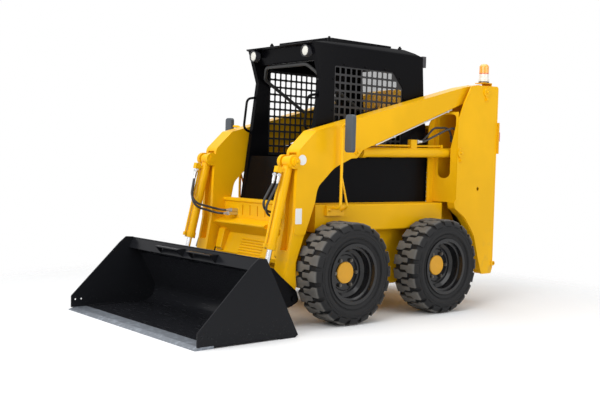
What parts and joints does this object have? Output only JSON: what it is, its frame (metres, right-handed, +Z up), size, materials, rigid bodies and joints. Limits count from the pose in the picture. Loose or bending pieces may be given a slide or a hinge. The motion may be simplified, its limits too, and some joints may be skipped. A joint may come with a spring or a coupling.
{
  "type": "skid steer loader",
  "caption": "Wheeled skid steer loader with radial lift arms, a roll-over cab with mesh side windows and a general purpose bucket.",
  "frame": {"origin": "on the ground under the middle of the whole machine's box", "axes": "+Z up, the bucket faces -Y, +X is the operator's left"},
  "size_m": [1.83, 3.283, 2.196],
  "materials": {
    "yellow_paint": "gloss",
    "cylinder_paint": "gloss",
    "black_paint": "satin",
    "bucket_black": "satin",
    "edge_steel": "satin",
    "tyre_rubber": "matte",
    "rim_paint": "satin",
    "hub_paint": "gloss",
    "rod_chrome": "polished",
    "engine_iron": "matte",
    "seat_vinyl": "satin",
    "black_plastic": "matte",
    "lamp_housing": "gloss",
    "beacon_amber": "gloss",
    "tail_red": "gloss",
    "hose_rubber": "matte",
    "mirror_shell": "matte",
    "mesh_black": "satin"
  },
  "bodies": {
    "chassis": {"chassis_frame": "yellow_paint", "axle_housings": "black_paint", "engine_block": "engine_iron", "rear_bumper": "black_paint", "cab_floor": "black_paint", "cab_roof": "black_paint", "cab_rear": "black_paint", "cab_front": "black_paint", "seat": "seat_vinyl", "control_levers": "black_plastic", "grab_handles": "black_paint", "work_lamps": "lamp_housing", "beacon": "beacon_amber", "tail_lamps": "tail_red", "tower_left": "yellow_paint", "tower_right": "yellow_paint", "cab_side_left": "black_paint", "cab_side_right": "black_paint", "window_mesh_left": "mesh_black", "window_mesh_right": "mesh_black", "mirror_left": "mirror_shell", "mirror_right": "mirror_shell"},
    "lift_arms": {"lift_arm_left": "yellow_paint", "lift_arm_right": "yellow_paint", "cross_member": "yellow_paint", "arm_hoses": "hose_rubber"},
    "bucket": {"quick_coupler": "black_paint", "bucket_shell": "bucket_black", "cutting_edge": "edge_steel"},
    "rear_door": {"rear_door": "yellow_paint"},
    "engine_hood": {"engine_hood": "yellow_paint"},
    "lift_barrel_left": {"lift_barrel_left": "cylinder_paint"},
    "lift_barrel_right": {"lift_barrel_right": "cylinder_paint"},
    "lift_rod_left": {"lift_rod_left": "rod_chrome"},
    "lift_rod_right": {"lift_rod_right": "rod_chrome"},
    "tilt_barrel_left": {"tilt_barrel_left": "cylinder_paint"},
    "tilt_barrel_right": {"tilt_barrel_right": "cylinder_paint"},
    "tilt_rod_left": {"tilt_rod_left": "rod_chrome"},
    "tilt_rod_right": {"tilt_rod_right": "rod_chrome"},
    "wheel_front_left": {"tyre_front_left": "tyre_rubber", "rim_front_left": "rim_paint", "hub_front_left": "hub_paint"},
    "wheel_front_right": {"tyre_front_right": "tyre_rubber", "rim_front_right": "rim_paint", "hub_front_right": "hub_paint"},
    "wheel_rear_left": {"tyre_rear_left": "tyre_rubber", "rim_rear_left": "rim_paint", "hub_rear_left": "hub_paint"},
    "wheel_rear_right": {"tyre_rear_right": "tyre_rubber", "rim_rear_right": "rim_paint", "hub_rear_right": "hub_paint"}
  },
  "joints": [
    {"name": "arm_lift", "type": "hinge", "parent": "chassis", "child": "lift_arms", "pos_m": [0, 1.4535, 1.86], "axis": [-1, 0, 0], "range_deg": [0, 60]},
    {"name": "bucket_tilt", "type": "hinge", "parent": "lift_arms", "child": "bucket", "pos_m": [0, -0.6245, 0.215], "axis": [1, 0, 0], "range_deg": [-25, 95]},
    {"name": "rear_door_swing", "type": "hinge", "parent": "chassis", "child": "rear_door", "pos_m": [-0.452, 1.6305, 0.885], "axis": [0, 0, 1], "range_deg": [0, 100]},
    {"name": "engine_hood_lift", "type": "hinge", "parent": "chassis", "child": "engine_hood", "pos_m": [0, 1.0505, 1.524], "axis": [1, 0, 0], "range_deg": [0, 50]},
    {"name": "lift_swing_left", "type": "hinge", "parent": "chassis", "child": "lift_barrel_left", "pos_m": [0.54, 1.1335, 1.324], "axis": [-1, 0, 0], "range_deg": [0, 62.72]},
    {"name": "lift_slide_left", "type": "slide", "parent": "lift_barrel_left", "child": "lift_rod_left", "axis": [0, -0.9998, -0.0208], "range_m": [0, 0.6201]},
    {"name": "tilt_swing_left", "type": "hinge", "parent": "lift_arms", "child": "tilt_barrel_left", "pos_m": [0.54, -0.6295, 1.212], "axis": [1, 0, 0], "range_deg": [-0.92, 3.48]},
    {"name": "tilt_slide_left", "type": "slide", "parent": "tilt_barrel_left", "child": "tilt_rod_left", "axis": [0, -0.2311, -0.9729], "range_m": [-0.09233, 0.35085]},
    {"name": "lift_swing_right", "type": "hinge", "parent": "chassis", "child": "lift_barrel_right", "pos_m": [-0.54, 1.1335, 1.324], "axis": [-1, 0, 0], "range_deg": [0, 62.72]},
    {"name": "lift_slide_right", "type": "slide", "parent": "lift_barrel_right", "child": "lift_rod_right", "axis": [0, -0.9998, -0.0208], "range_m": [0, 0.6201]},
    {"name": "tilt_swing_right", "type": "hinge", "parent": "lift_arms", "child": "tilt_barrel_right", "pos_m": [-0.54, -0.6295, 1.212], "axis": [1, 0, 0], "range_deg": [-0.92, 3.48]},
    {"name": "tilt_slide_right", "type": "slide", "parent": "tilt_barrel_right", "child": "tilt_rod_right", "axis": [0, -0.2311, -0.9729], "range_m": [-0.09233, 0.35085]},
    {"name": "wheel_spin_front_left", "type": "hinge", "parent": "chassis", "child": "wheel_front_left", "pos_m": [0.689, -0.1845, 0.3865], "axis": [1, 0, 0], "continuous": true},
    {"name": "wheel_spin_front_right", "type": "hinge", "parent": "chassis", "child": "wheel_front_right", "pos_m": [-0.689, -0.1845, 0.3865], "axis": [1, 0, 0], "continuous": true},
    {"name": "wheel_spin_rear_left", "type": "hinge", "parent": "chassis", "child": "wheel_rear_left", "pos_m": [0.689, 0.8335, 0.3865], "axis": [1, 0, 0], "continuous": true},
    {"name": "wheel_spin_rear_right", "type": "hinge", "parent": "chassis", "child": "wheel_rear_right", "pos_m": [-0.689, 0.8335, 0.3865], "axis": [1, 0, 0], "continuous": true}
  ],
  "couplings": [
    {"joint": "lift_swing_left", "follows": "arm_lift", "ratio": 1.0454},
    {"joint": "lift_slide_left", "follows": "arm_lift", "m_per_rad": 0.5921},
    {"joint": "tilt_swing_left", "follows": "bucket_tilt", "ratio": 0.0366},
    {"joint": "tilt_slide_left", "follows": "bucket_tilt", "m_per_rad": 0.2116},
    {"joint": "lift_swing_right", "follows": "arm_lift", "ratio": 1.0454},
    {"joint": "lift_slide_right", "follows": "arm_lift", "m_per_rad": 0.5921},
    {"joint": "tilt_swing_right", "follows": "bucket_tilt", "ratio": 0.0366},
    {"joint": "tilt_slide_right", "follows": "bucket_tilt", "m_per_rad": 0.2116}
  ]
}
